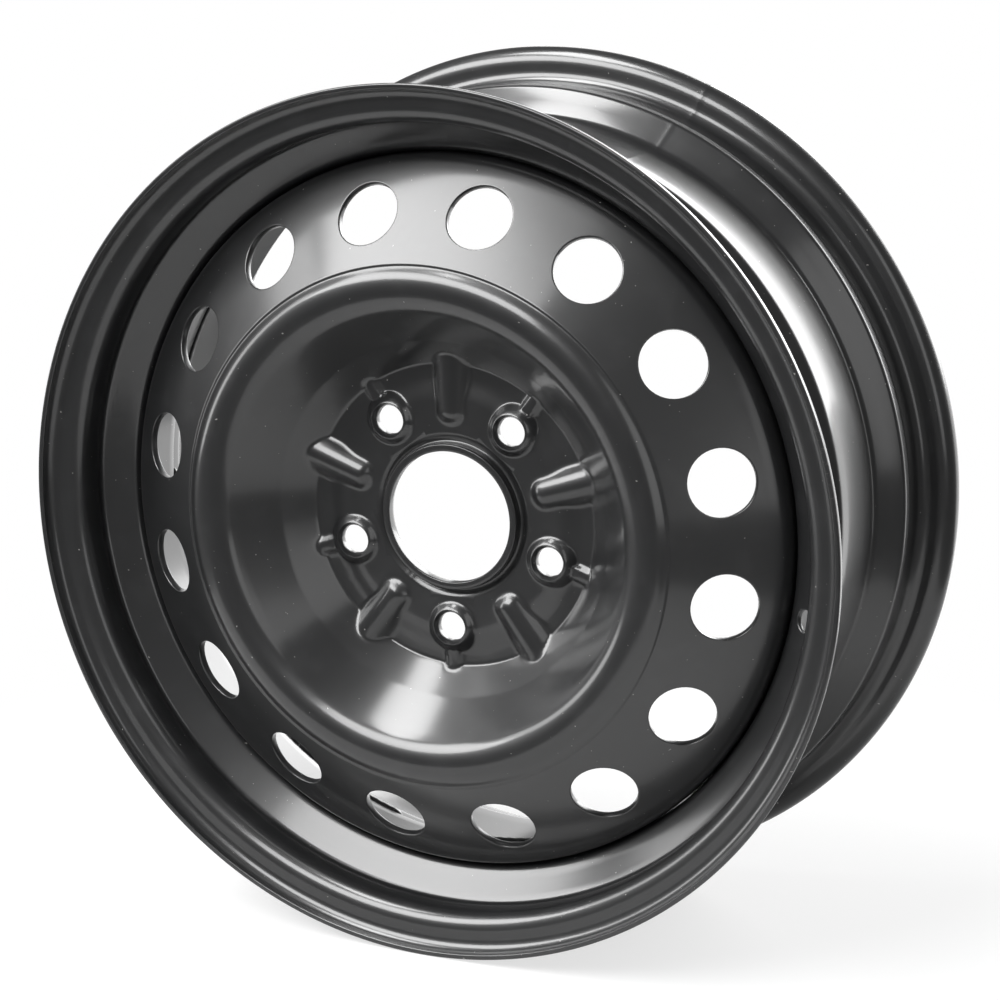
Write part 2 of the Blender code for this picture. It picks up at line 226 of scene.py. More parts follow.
def smoothShade(item, angle=50 * degree):
    pick(item)
    bpy.ops.object.shade_smooth_by_angle(angle=angle)


# section helpers: a corner is (radius, height, bend radius, segments)


def unit(a, b):
    length = math.dist(a, b)
    return (b[0] - a[0]) / length, (b[1] - a[1]) / length


def turnBetween(a, b):
    return math.atan2(a[0] * b[1] - a[1] * b[0], a[0] * b[0] + a[1] * b[1])


def bendPoints(before, corner, after):
    place, bend, segments = corner[:2], corner[2], corner[3]
    if bend == 0:
        return [place]
    into, out = unit(before[:2], place), unit(place, after[:2])
    turn = turnBetween(into, out)
    reach = bend * math.tan(abs(turn) / 2)
    start = (place[0] - into[0] * reach, place[1] - into[1] * reach)
    side = math.copysign(1, turn)
    centre = (start[0] - into[1] * side * bend, start[1] + into[0] * side * bend)
    arm = (start[0] - centre[0], start[1] - centre[1])
    points = []
    for index in range(segments + 1):
        angle = turn * index / segments
        across = arm[0] * math.cos(angle) - arm[1] * math.sin(angle)
        along = arm[0] * math.sin(angle) + arm[1] * math.cos(angle)
        points.append((centre[0] + across, centre[1] + along))
    return points


def roundedPath(corners):
    points = [corners[0][:2]]
    for index in range(1, len(corners) - 1):
        points += bendPoints(*corners[index - 1:index + 2])
    return points + [corners[-1][:2]]


def offsetCorners(corners, distance):
    # the other side of a sheet: corners move along their mitres, bends keep their centres
    moved = []
    for index, corner in enumerate(corners):
        place = corner[:2]
        before = corners[max(index - 1, 0)][:2]
        after = corners[min(index + 1, len(corners) - 1)][:2]
        into = unit(before, place) if index > 0 else unit(place, after)
        out = unit(place, after) if index < len(corners) - 1 else into
        turn = turnBetween(into, out)
        mitre = math.tan(turn / 2)
        radius = place[0] + distance * (into[1] + into[0] * mitre)
        height = place[1] - distance * (into[0] - into[1] * mitre)
        bend = max(corner[2] + math.copysign(distance, turn), 0) if corner[2] else 0
        moved.append((radius, height, bend, corner[3]))
    return moved


def fillGaps(points, pairs, longestAt):
    # extra points on long straight runs, the same shares on both sides of the sheet
    first, second = [points[0]], [pairs[0]]
    for index in range(1, len(points)):
        longest = longestAt(points[index - 1][0])
        count = max(1, math.ceil(math.dist(points[index - 1], points[index]) / longest - tiny))
        for step in range(1, count + 1):
            share = step / count
            for line, result in ((points, first), (pairs, second)):
                a, b = line[index - 1], line[index]
                result.append((a[0] + (b[0] - a[0]) * share, a[1] + (b[1] - a[1]) * share))
    return first, second


# rim hoop

rimSet = {
    "width": 152.4 * mm,
    "seatRadius": 202.8 * mm,
    "flangeHeight": 17.25 * mm,
    "curlRadius": 9 * mm,
    "curlPast": 8 * degree,
    "curlSteps": 10,
    "heelRadius": 6.5 * mm,
    "seatTaper": 5 * degree,
    "sheet": 2.6 * mm,
    "humpOffset": 13.2 * mm,
    "humpHeight": 1.8 * mm,
    "humpRise": 6 * mm,
    "humpFoot": 3 * mm,
    "humpBend": 6 * mm,
    "rearHumpTop": 5.5 * mm,
    "wellRadius": 185.1 * mm,
    "wellSlope": 57 * degree,
    "wellBend": 5 * mm,
    "wellBase": 37 * mm,
    "ledgeRadius": 190 * mm,
    "ledgeSlope": 40 * degree,
    "rearSlope": 54 * degree,
    "steps": 360,
    "longest": 8 * mm,
    "edgeRound": 0.7 * mm,
    "edgeSegments": 3,
    "valveRadius": 5.65 * mm,
    "valveAngle": -9.2 * degree,
    "valvePatch": 8.6 * mm,
    "valveLines": (-3.6 * mm, 0, 3.6 * mm),  # extra lines along the slope that has the hole
    "seamAngle": 67.8 * degree,
    "seamHalf": 0.8 * mm,
    "seamProud": 0.12 * mm,
}


def rimSection(s):
    half = s["width"] / 2
    crown = s["seatRadius"] + s["flangeHeight"]
    footRadius = s["seatRadius"] - s["humpOffset"] * math.tan(s["seatTaper"])
    top = footRadius + s["humpHeight"]
    humpPlace = half - s["humpOffset"] - s["humpRise"]
    wellStart = humpPlace - (top - s["wellRadius"]) / math.tan(s["wellSlope"])
    wellEnd = wellStart - s["wellBase"]
    ledgeStart = wellEnd - (s["ledgeRadius"] - s["wellRadius"]) / math.tan(s["ledgeSlope"])
    rearTop = s["rearHumpTop"] - humpPlace
    ledgeEnd = rearTop + (top - s["ledgeRadius"]) / math.tan(s["rearSlope"])

    def curl(side):
        sweep = s["curlPast"] + math.pi / 2
        points = []
        for index in range(s["curlSteps"]):
            angle = s["curlPast"] - sweep * index / s["curlSteps"]
            radius = crown - s["curlRadius"] * (1 - math.cos(angle))
            height = half + s["curlRadius"] * (1 + math.sin(angle))
            points.append((radius, side * height, 0, 0))
        return points

    def seat(side):
        return [
            (crown - s["curlRadius"], side * half, 0, 0),
            (s["seatRadius"], side * half, s["heelRadius"], 6),
            (footRadius, side * (half - s["humpOffset"]), s["humpFoot"], 2),
        ]

    slope = ((top + s["wellRadius"]) / 2, (humpPlace + wellStart) / 2)
    along = unit((top, humpPlace), (s["wellRadius"], wellStart))
    slopeLines = [
        (slope[0] + along[0] * step, slope[1] + along[1] * step, 0, 0) for step in s["valveLines"]
    ]
    middle = [
        (top, humpPlace, s["humpBend"], 7),
        *slopeLines,
        (s["wellRadius"], wellStart, s["wellBend"], 5),
        (s["wellRadius"], wellEnd, s["wellBend"], 3),
        (s["ledgeRadius"], ledgeStart, s["wellBend"], 3),
        (s["ledgeRadius"], ledgeEnd, s["wellBend"], 5),
        (top, rearTop, s["humpBend"] / 2, 5),
        (top, -humpPlace, s["humpBend"] / 2, 3),
    ]
    corners = curl(1) + seat(1) + middle + seat(-1)[::-1] + curl(-1)[::-1]
    return roundedPath(corners), slope, along


def openValveHole(rim, s, place, along):
    # a patch of the well's street-side slope is replaced by rings round the valve hole
    angle = s["valveAngle"]
    centre = np.array((place[0] * math.cos(angle), -place[1], place[0] * math.sin(angle)))
    normal = Vector((-along[1] * math.cos(angle), -along[0], -along[1] * math.sin(angle)))
    middles = faceValues(rim, "center")
    radius = np.hypot(middles[:, 0], middles[:, 2])
    slope = np.abs(radius - place[0]) < s["valvePatch"] * abs(along[0])
    slope &= np.abs(middles[:, 1] + place[1]) < s["valvePatch"]
    near = np.abs(np.arctan2(middles[:, 2], middles[:, 0]) - angle) * radius < s["valvePatch"]
    selectParts(rim, "FACE", slope & near)
    bpy.ops.mesh.subdivide(number_cuts=1)
    bpy.ops.mesh.delete(type="FACE")

    def border():
        return openVerts(rim) & (distances(rim, centre) < 3 * s["valvePatch"])

    count = int(border().sum())
    editMode()
    selectAll(False)
    bpy.ops.mesh.primitive_circle_add(
        vertices=count, radius=s["valveRadius"], location=centre,
        rotation=normal.to_track_quat("Z", "Y").to_euler(),
    )
    selectParts(rim, "VERT", border())
    bpy.ops.mesh.bridge_edge_loops(number_cuts=2, interpolation="LINEAR")


def addSeam(rim, s):
    # the dressed butt weld: one line of edges is widened and its middle stands proud
    pitch = 2 * math.pi / s["steps"]
    angle = round(s["seamAngle"] / pitch) * pitch

    def selectNear(reach):
        points = coordinates(rim)
        off = np.abs(np.arctan2(points[:, 2], points[:, 0]) - angle) * s["seatRadius"]
        selectParts(rim, "VERT", off < reach)

    selectNear(tiny * 10)
    bpy.ops.mesh.select_mode(type="EDGE")
    bpy.ops.mesh.bevel(offset=s["seamHalf"], segments=2, affect="EDGES", clamp_overlap=False)
    selectNear(s["seamHalf"] / 3)
    bpy.ops.transform.shrink_fatten(value=s["seamProud"])
    editMode(False)


def faceOutwards(rim):
    # an open sheet has no inside, so all its faces together say which way is out
    turnFacesOut()
    editMode(False)
    outward = faceValues(rim, "normal")[:, (0, 2)] * faceValues(rim, "center")[:, (0, 2)]
    if outward.sum() < 0:
        editMode()
        selectAll()
        bpy.ops.mesh.flip_normals()
        editMode(False)


def buildRimHoop(s):
    points, valvePlace, along = rimSection(s)
    points = fillGaps(points, points, lambda radius: s["longest"])[0]
    rim = drawLine("rimHoop", [(radius, -height, 0) for radius, height in points])
    spinRound(s["steps"])
    mergeClose()
    faceOutwards(rim)
    openValveHole(rim, s, valvePlace, along)
    addSeam(rim, s)
    giveThickness(rim, s["sheet"], even=True)
    roundSharpEdges(s["edgeRound"], s["edgeSegments"])
    smoothShade(rim)
    return rim


rimHoop = buildRimHoop(rimSet)
print("rim hoop", len(rimHoop.data.polygons))

# pressed disc: a flat blank with its holes, pressed onto the form

discSet = {
    "sheet": 3.6 * mm,
    "offset": 43 * mm,
    "boreRadius": 33.55 * mm,
    "collarHeight": 5.5 * mm,
    "collarFoot": 1.5 * mm,
    "landRamp": (39.6 * mm, 41.4 * mm, 58 * mm, 72 * mm),  # starts, is full, falls, ends
    "landRise": 2.0 * mm,
    "hubRadius": 77.5 * mm,
    "hubCorner": 2.5 * mm,
    "bowlBend": (91 * mm, 60.7 * mm),
    "bowlBlend": 40 * mm,
    "bowlSlope": 49 * degree,
    "crownRadius": 120 * mm,
    "crownHeight": 86 * mm,
    "crownBlend": 16 * mm,
    "crownFall": 35 * degree,
    "grooveRadius": 131.2 * mm,
    "grooveStep": 0.7 * mm,
    "grooveWidth": 1.4 * mm,
    "grooveRun": 5 * mm,
    "grooveRows": (-4, 6, 0.4 * mm),  # first row, past the last row, and the distance of two
    "coneSlope": 32.7 * degree,
    "shoulderBlend": 9 * mm,
    "flangeRadius": rimSet["wellRadius"] - rimSet["sheet"] - 0.3 * mm,
    "flangeEnd": 20 * mm,
    "joinRadius": 101 * mm,
    "slipRadii": (90 * mm, 98 * mm),
    "fineRadius": 83.5 * mm,
    "fineRows": 1.5 * mm,
    "coarseRows": 5 * mm,
    "edgeRound": 0.45 * mm,
    "edgeSegments": 2,
}

boltSet = {
    "count": 5,
    "circle": 57.15 * mm,
    "first": -90 * degree,
    "mouth": 8.8 * mm,
    "seatAngle": 32 * degree,
    "seatBlend": 0.15 * mm,
    "base": 14.2 * mm,
    "height": 3.6 * mm,
    "fullness": 1.35,
    "fall": 20 * mm,  # how steeply the form sinks past the boss
    "blend": 0.5 * mm,
    "reliefRadius": 11.5 * mm,
    "reliefDepth": 1.2 * mm,
    "reliefEdge": 0.3 * mm,
    "tabHalf": 2.6 * mm,
    "tabStart": 66 * mm,
    "tabHeight": 2.5 * mm,
    "tabSteepness": 1.3,
    "tabBlend": 0.9 * mm,
    "rings": (14.9, 14.5, 14.2, 13.9, 13.3, 12.5, 11.5, 10.5, 9.7, 9.1, 8.8, 8.5, 7.9, 7.4),
    "patch": (-15.45 * mm, 16.75 * mm, 15),  # inwards, outwards, and half its columns
}

ribSet = {
    "toe": 44.5 * mm,
    "toeSlope": 0.9,
    "toeLength": 8 * mm,
    "height": 6.6 * mm,
    "crestBlend": 1 * mm,
    "fullness": 2.1,
    "half": 8.9 * mm,
    "flare": 2 * mm,
    "end": 91 * mm,
    "fall": 4,  # how steeply the form sinks past the rib
    "blend": 0.7 * mm,
    "inset": 0.8,  # of the sheet, on the hub side
    "insetBlend": 0.8 * mm,
}

ventSet = {
    "count": 16,
    "circle": 156.7 * mm,
    "phase": -9.2 * degree,
    "rings": (18.8, 18.1, 17.4, 16.7),
    "patch": (-22.4 * mm, 22.4 * mm, 7),
    "fitRounds": 12,
}

gridSteps = 320  # columns round the disc, a multiple of the bolt count and of the vent count
column = 2 * math.pi / gridSteps


def discSection(s):
    # the street-side face from the collar to the flange's end, and the hub-side face behind it
    middle = (s["bowlSlope"] - s["crownFall"]) / 2
    spread = (s["bowlSlope"] + s["crownFall"]) / 2
    reach = s["crownBlend"] / math.cos(spread)
    crown = (
        s["crownRadius"] - reach * math.sin(middle),
        s["crownHeight"] - s["crownBlend"] + reach * math.cos(middle),
    )

    def coneHeight(radius):
        return crown[1] - (radius - crown[0]) * math.tan(s["coneSlope"])

    face = s["offset"] + s["sheet"]
    wall = s["boreRadius"] + s["sheet"]
    blend = min(s["bowlBlend"], math.dist(crown, s["bowlBend"]))
    firstRow, endRow, rowStep = s["grooveRows"]
    grooveRadii = [s["grooveRadius"] + row * rowStep for row in range(firstRow, endRow)]
    corners = [
        (wall, face + s["collarHeight"], 0, 0),
        (wall, face, s["collarFoot"], 5),
        (s["hubRadius"], face, s["hubCorner"], 6),
        (*s["bowlBend"], blend, 7),
        (*crown, s["crownBlend"], 14),
        *[(radius, coneHeight(radius), 0, 0) for radius in grooveRadii],
        (s["flangeRadius"], coneHeight(s["flangeRadius"]), s["shoulderBlend"], 7),
        (s["flangeRadius"], s["flangeEnd"], 0, 0),
    ]
    outer = roundedPath(corners)
    inner = roundedPath(offsetCorners(corners, s["sheet"]))

    def longest(radius):
        return s["fineRows"] if radius < s["fineRadius"] else s["coarseRows"]

    outer, inner = [np.array(side) for side in fillGaps(outer, inner, longest)]
    steps = np.hypot(*np.diff(outer, axis=0).T)
    run = np.concatenate(([0], np.cumsum(steps)))
    landStart = int(np.argmax(outer[:, 1] < face + tiny))
    run += outer[landStart, 0] - run[landStart]  # on the flat hub the run is the radius itself
    return run, outer, inner


discRun, discOuter, discInner = discSection(discSet)


def runAt(radius):
    # only for radii past the collar
    past = discRun > discSet["boreRadius"] + 2 * discSet["sheet"]
    return float(np.interp(radius, discOuter[past, 0], discRun[past]))


def wedge(name, runs, angle, columns):
    start = -angle / 2
    line = [(run * math.cos(start), 0, run * math.sin(start)) for run in runs]
    item = drawLine(name, line)
    spinRound(columns, angle)
    mergeClose()
    editMode(False)
    return item


def inPatch(places, low, high, half):
    run = np.hypot(places[:, 0], places[:, 2])
    angle = np.abs(np.arctan2(places[:, 2], places[:, 0]))
    return (run > low) & (run < high) & (angle < half)


def addRings(item, centre, rings, patch, shape=None):
    # a patch of faces is replaced by rings, from the widest to the hole's own edge
    low, high, half = patch
    selectParts(item, "FACE", inPatch(faceValues(item, "center"), low, high, half))
    bpy.ops.mesh.delete(type="FACE")

    def border():
        # open points a little past the patch too
        past = (low - 2 * mm, high + 2 * mm, half + 0.5 * degree)
        return openVerts(item) & inPatch(coordinates(item), *past)

    count = int(border().sum())
    editMode()
    selectAll(False)
    bpy.ops.mesh.primitive_circle_add(
        vertices=count, radius=rings[0] * mm, location=(centre, 0, 0), rotation=(math.pi / 2, 0, 0)
    )
    bpy.ops.mesh.select_mode(type="EDGE")
    for wide, narrow in zip(rings, rings[1:]):
        bpy.ops.mesh.extrude_region_move()
        size = narrow / wide
        bpy.ops.transform.resize(value=(size, size, size), center_override=(centre, 0, 0))
    outermost = (rings[0] - 0.2) * mm
    ends = border() & (distances(item, (centre, 0, 0)) > outermost)  # not the hole's own edge
    if shape:
        shape(item)
    selectParts(item, "VERT", ends)
    bpy.ops.mesh.bridge_edge_loops(number_cuts=1, interpolation="LINEAR")
    editMode(False)


def shapeVentRings(item, v, ventRun):
    # a straight punch meets the cone in a slightly bent ring, so the rings are laid out for it
    points = coordinates(item)
    across, along = points[:, 2], points[:, 0] - ventRun
    inRings = np.hypot(along, across) < v["rings"][0] * mm + tiny * 5
    sine, cosine = math.sin(discSet["coneSlope"]), math.cos(discSet["coneSlope"])
    lift = np.zeros(len(points))
    for fitRound in range(v["fitRounds"]):
        radius = np.hypot(v["circle"] + along * cosine + lift * sine, across)
        lift = (along * sine - (radius - v["circle"]) * sine / cosine) / cosine
    run = ventRun + (radius - v["circle"]) / cosine
    angle = np.arctan2(across, v["circle"] + along * cosine + lift * sine)
    points[inRings] = aboutAxis(run, -points[:, 1], angle)[inRings]
    setCoordinates(item, points)


def repeatRound(item, count):
    pick(item)
    editMode()
    selectAll()
    angle = 2 * math.pi / count
    spinRound(count - 1, angle * (count - 1), copies=True)
    mergeClose()
    editMode(False)


def punchedRing(name, runs, centre, s, shape=None):
    # one sector with its hole, repeated all round
    item = wedge(name, runs, 2 * math.pi / s["count"], gridSteps // s["count"])
    low, high, half = s["patch"]
    addRings(item, centre, s["rings"], (centre + low, centre + high, half * column), shape)
    repeatRound(item, s["count"])
    return item


def wholeTurn(b, v):
    # from the first bolt hole to the first vent hole, in whole columns
    return round((v["phase"] - b["first"]) / column) * column


def flatBlank(b, v):
    joinIndex = int(np.argmax(discOuter[:, 0] > discSet["joinRadius"]))
    hub = punchedRing("hubBlank", discRun[:joinIndex + 1], b["circle"], b)
    ventRun = runAt(v["circle"])

    def shape(item):
        shapeVentRings(item, v, ventRun)

    skirt = punchedRing("skirtBlank", discRun[joinIndex:], ventRun, v, shape)
    for item, angle in ((hub, b["first"]), (skirt, b["first"] + wholeTurn(b, v))):
        setCoordinates(item, turned(coordinates(item), angle))
    pick(hub, skirt)
    bpy.ops.object.join()
    hub.name = "wheelDisc"
    editMode()
    mergeClose(0.02 * mm)
    turnFacesOut()
    editMode(False)
    return hub


def ramp(low, high, value):
    share = np.clip((value - low) / (high - low), 0, 1)
    return share * share * (3 - 2 * share)


def higher(a, b, blend):
    return (a + b + np.sqrt((a - b) ** 2 + blend ** 2)) / 2


def lower(a, b, blend):
    return (a + b - np.sqrt((a - b) ** 2 + blend ** 2)) / 2


def nearestArm(angle, first, count):
    # the angle from the nearest of several equally spaced arms
    pitch = 2 * math.pi / count
    return (angle - first + pitch / 2) % pitch - pitch / 2


def plainFace(radius, height, d):
    # the section with the raised land and the ring groove, before bosses, tabs and ribs
    low, flat, end, high = d["landRamp"]
    land = d["landRise"] * ramp(low, flat, radius) * (1 - ramp(end, high, radius))
    groove = d["grooveRadius"]
    dip = ramp(groove - d["grooveRun"], groove, radius)
    dip *= 1 - ramp(groove, groove + d["grooveWidth"], radius)
    return height + land - d["grooveStep"] * dip


def ribHeight(radius, angle, b, r, inset=0):
    # a rounded back along a radial line; its toe narrows and slopes down to the land
    arm = nearestArm(angle, b["first"] + math.pi / b["count"], b["count"])
    along, across = radius * np.cos(arm), radius * np.sin(arm)
    toe, half = r["toe"] + inset, r["half"] - inset
    share = np.clip((toe + r["toeLength"] - along) / r["toeLength"], 0, 0.98)
    wide = half + r["flare"] * (along - toe) / (r["end"] - toe)
    side = np.abs(across) / (wide * np.sqrt(1 - share ** 2))
    back = lower(r["toeSlope"] * (along - toe), r["height"], r["crestBlend"])
    beyond = np.clip(side - 1, 0, None) * r["fall"] * r["height"]
    return back * np.clip(1 - side ** r["fullness"], 0, 1) - beyond


def boltPlace(radius, angle, b):
    # along and across the arm of the nearest bolt hole, and away from the hole's middle
    arm = nearestArm(angle, b["first"], b["count"])
    along, across = radius * np.cos(arm), radius * np.sin(arm)
    return along, across, np.hypot(along - b["circle"], across)


def streetFace(radius, height, angle, d, b, r):
    face = d["offset"] + d["sheet"]
    plain = plainFace(radius, height, d)
    surface = higher(plain, face + ribHeight(radius, angle, b, r), r["blend"])
    along, across, away = boltPlace(radius, angle, b)
    beside = np.clip(np.abs(across) - b["tabHalf"], 0, None)
    inside = np.clip(b["tabStart"] - along, 0, None)
    tab = face + b["tabHeight"] - (beside + inside) * b["tabSteepness"]
    surface = higher(surface, tab, b["tabBlend"])
    share = (away - b["mouth"]) / (b["base"] - b["mouth"])
    dome = np.clip(1 - np.clip(share, 0, None) ** b["fullness"], 0, 1)
    rise = d["landRise"] + b["height"]
    boss = face + rise * dome - np.clip(share - 1, 0, None) * b["fall"]
    surface = higher(surface, boss, b["blend"])
    seat = face + rise - (b["mouth"] - away) / math.tan(b["seatAngle"])
    surface = lower(surface, seat, b["seatBlend"])
    return np.where(radius < d["joinRadius"], surface, plain)


def hubFace(radius, height, angle, d, b, r):
    plain = plainFace(radius, height, d)
    rib = ribHeight(radius, angle, b, r, r["inset"] * d["sheet"])
    surface = higher(plain, d["offset"] + rib, r["insetBlend"])
    away = boltPlace(radius, angle, b)[2]
    relief = d["offset"] + d["landRise"] + b["reliefDepth"]
    low, high = b["reliefRadius"] - b["reliefEdge"], b["reliefRadius"] + b["reliefEdge"]
    surface = surface + (relief - surface) * (1 - ramp(low, high, away))
    return np.where(radius < d["joinRadius"], surface, plain)


def pressOntoForm(item, d, b, r, v):
    points = coordinates(item)
    low, high = np.percentile(points[:, 1], (5, 95))  # the two faces of the flat sheet
    depth = np.clip((points[:, 1] - low) / (high - low), 0, 1)
    run = np.hypot(points[:, 0], points[:, 2])
    angle = np.arctan2(points[:, 2], points[:, 0])
    outer, inner = [
        [np.interp(run, discRun, side[:, axis]) for axis in (0, 1)]
        for side in (discOuter, discInner)
    ]
    outer[1] = streetFace(*outer, angle, d, b, r)
    inner[1] = hubFace(*inner, angle, d, b, r)
    radius = outer[0] + (inner[0] - outer[0]) * depth
    height = outer[1] + (inner[1] - outer[1]) * depth
    slip = v["phase"] - b["first"] - wholeTurn(b, v)  # what the whole columns leave over
    low, high = [runAt(edge) for edge in d["slipRadii"]]
    setCoordinates(item, aboutAxis(radius, height, angle + slip * ramp(low, high, run)))


def buildWheelDisc(d, b, r, v):
    disc = flatBlank(b, v)
    giveThickness(disc, d["sheet"], even=False)
    roundSharpEdges(d["edgeRound"], d["edgeSegments"])
    pressOntoForm(disc, d, b, r, v)
    editMode()
    turnFacesOut()
    editMode(False)
    smoothShade(disc)
    return disc


wheelDisc = buildWheelDisc(discSet, boltSet, ribSet, ventSet)
print("wheel disc", len(wheelDisc.data.polygons))

# weld beads in the corner between the disc's flange and the well

weldSet = {
    "count": 8,
    "radius": 2.5 * mm,
    "seated": 0.9,  # of its radius, from the bead's middle to each sheet
    "spread": 30 * degree,
    "steps": 72,
    "sides": 14,
    "ripples": 17,
    "rippleDepth": 0.16 * mm,
    "rippleLean": 300,  # how far the ripples slant
    "rippleLevel": 0.6,
    "taper": 0.06,  # share of the bead's length at each end
    "endSize": 0.35,
    "wander": 0.25 * mm,
    "wanderTurn": 9,
    "wanderStep": 1.7,  # from bead to bead
    "smoothAngle": 70 * degree,
}


def buildWeldBead(number, s):
    ring = rimSet["wellRadius"] - rimSet["sheet"] - s["radius"] * s["seated"]
    height = discSet["flangeEnd"] - s["radius"] * s["seated"]
    deselectAll()
    bpy.ops.mesh.primitive_circle_add(
        vertices=s["sides"], radius=s["radius"], fill_type="NGON", location=(ring, -height, 0)
    )
    bead = bpy.context.object
    bead.name = f"weldBead{number}"
    editMode()
    selectAll()
    spinRound(s["steps"], s["spread"])
    mergeClose()
    turnFacesOut()
    editMode(False)
    bpy.ops.object.transform_apply(location=True, rotation=True, scale=True)
    points = coordinates(bead)
    angle = np.arctan2(points[:, 2], points[:, 0])
    share = (angle - angle.min()) / np.ptp(angle)
    middle = aboutAxis(ring, height, angle)
    ends = np.clip(np.minimum(share, 1 - share) / s["taper"], 0, 1)
    size = s["endSize"] + (1 - s["endSize"]) * np.sqrt(1 - (1 - ends) ** 2)
    wave = np.sin(math.pi * s["ripples"] * share + points[:, 1] * s["rippleLean"])
    size *= 1 + s["rippleDepth"] * (np.abs(wave) - s["rippleLevel"]) / s["radius"]
    points = middle + (points - middle) * size[:, None]
    points[:, 1] += s["wander"] * np.sin(share * s["wanderTurn"] + number * s["wanderStep"])
    setCoordinates(bead, turned(points, 2 * math.pi * number / s["count"]))
    smoothShade(bead, s["smoothAngle"])
    return bead


weldBeads = [buildWeldBead(number, weldSet) for number in range(weldSet["count"])]
print("weld beads", len(weldBeads))

# materials


class Wire:
    # a socket that takes part in sums, products and powers
    def __init__(self, tree, socket):
        self.tree = tree
        self.socket = socket

    def sum(self, operation, *values):
        settings = {"operation": operation}
        return self.tree.node("ShaderNodeMath", settings, dict(enumerate(values)))

    def __add__(self, other):
        return self.sum("ADD", self, other)

    def __sub__(self, other):
        return self.sum("SUBTRACT", self, other)

    def __rsub__(self, other):
        return self.sum("SUBTRACT", other, self)

    def __mul__(self, other):
        return self.sum("MULTIPLY", self, other)

    def __pow__(self, other):
        return self.sum("POWER", self, other)

    def above(self, low, high):
        # 0 below low and 1 above high
        settings = {"interpolation_type": "SMOOTHSTEP"}
        return self.tree.node("ShaderNodeMapRange", settings, {0: self, 1: low, 2: high})

    __radd__ = __add__
    __rmul__ = __mul__


class Finish:
    def __init__(self, name):
        self.material = bpy.data.materials.new(name)
        self.material.use_nodes = True
        self.nodes = self.material.node_tree.nodes
        self.links = self.material.node_tree.links
        self.shader = self.nodes["Principled BSDF"]

    def node(self, kind, settings=None, values=None, output=0):
        made = self.nodes.new(kind)
        for key, value in (settings or {}).items():
            setattr(made, key, value)
        for key, value in (values or {}).items():
            self.feed(made.inputs[key], value)
        return Wire(self, made.outputs[output])

    def feed(self, socket, value):
        if isinstance(value, Wire):
            self.links.new(value.socket, socket)
        else:
            socket.default_value = value

    def set(self, **values):
        for key, value in values.items():
            self.feed(self.shader.inputs[key.replace("_", " ")], value)

    def place(self):
        return self.node("ShaderNodeTexCoord", None, None, 3)  # Object coordinates

    def axes(self):
        split = self.node("ShaderNodeSeparateXYZ", None, {0: self.place()})
        return [Wire(self, output) for output in split.socket.node.outputs]

    def noise(self, scale, detail, place=None):
        values = {"Scale": scale, "Detail": detail, "Vector": place or self.place()}
        return self.node("ShaderNodeTexNoise", None, values)

    def mix(self, share, first, second):
        # share is how much of the second colour lies over the first
        values = {0: share, 6: first, 7: second}
        return self.node("ShaderNodeMix", {"data_type": "RGBA"}, values, 2)


# a noise is given as its scale and detail, a range as where a pattern starts and where it is full
paintSet = {
    "colour": (0.0095, 0.0097, 0.0102, 1),
    "dusty": (0.022, 0.022, 0.023, 1),
    "chip": (0.30, 0.29, 0.28, 1),
    "coat": 1.0,
    "coatRoughness": 0.15,
    "broad": (9, 3),
    "cloud": (60, 4),
    "peel": (620, 1),
    "grain": (2600, 2),
    "speck": (700, 0),
    "speckRange": (0.865, 0.885),
    "speckShare": 0.8,
    "dustRange": (0.50, 0.74),
    "dustShare": 0.35,
    "roughness": {"base": 0.32, "broad": 0.05, "cloud": 0.05, "speck": 0.2},
    "relief": {"peel": 0.012, "grain": 0.004, "broad": 0.35, "cloud": 0.03},  # mm
}

tickSet = {
    "laid": (90, 60, 40),  # noise steps round the wheel, across and along the lips
    "tick": (6, 1),
    "tickRange": (0.62, 0.72),
    "patch": (7, 2),
    "patchRange": (0.52, 0.64),
    "lipRange": (0.2130, 0.2165),
    "share": 0.16,
    "roughness": 0.12,
}

beadSet = {"noise": (300, 3), "relief": 0.12}  # relief in mm


def lipTicks(finish, t):
    # short pale ticks across the lips, in a few patches
    x, y, z = finish.axes()
    radius = (x * x + z * z) ** 0.5
    steps = zip((z.sum("ARCTAN2", z, x), radius, y), t["laid"])
    values = dict(enumerate(wire * step for wire, step in steps))
    laid = finish.node("ShaderNodeCombineXYZ", None, values)
    ticks = finish.noise(*t["tick"], laid).above(*t["tickRange"])
    patches = finish.noise(*t["patch"]).above(*t["patchRange"])
    return ticks * patches * radius.above(*t["lipRange"])


def blackPaint(name, s, ticks=None, bead=None):
    finish = Finish(name)
    broad, cloud, peel, grain = [
        finish.noise(*s[key]) for key in ("broad", "cloud", "peel", "grain")
    ]
    speck = finish.noise(*s["speck"]).above(*s["speckRange"])
    dust = cloud.above(*s["dustRange"]) * s["dustShare"]
    tone = finish.mix(dust, s["colour"], s["dusty"])
    tone = finish.mix(speck * s["speckShare"], tone, s["chip"])
    part = s["roughness"]
    rough = part["base"] + broad * part["broad"] + cloud * part["cloud"] + speck * part["speck"]
    part = s["relief"]
    relief = peel * part["peel"] + grain * part["grain"]
    relief = relief + broad * part["broad"] + cloud * part["cloud"]
    if ticks:
        lines = lipTicks(finish, ticks)
        tone = finish.mix(lines * ticks["share"], tone, s["chip"])
        rough = rough + lines * ticks["roughness"]
    if bead:
        relief = relief + finish.noise(*bead["noise"]) * bead["relief"]
    values = {"Strength": 1.0, "Distance": mm, "Height": relief}
    finish.set(
        Base_Color=tone, Roughness=rough, Metallic=0.0,
        Normal=finish.node("ShaderNodeBump", None, values),
        Coat_Weight=s["coat"], Coat_Roughness=s["coatRoughness"],
    )
    return finish.material


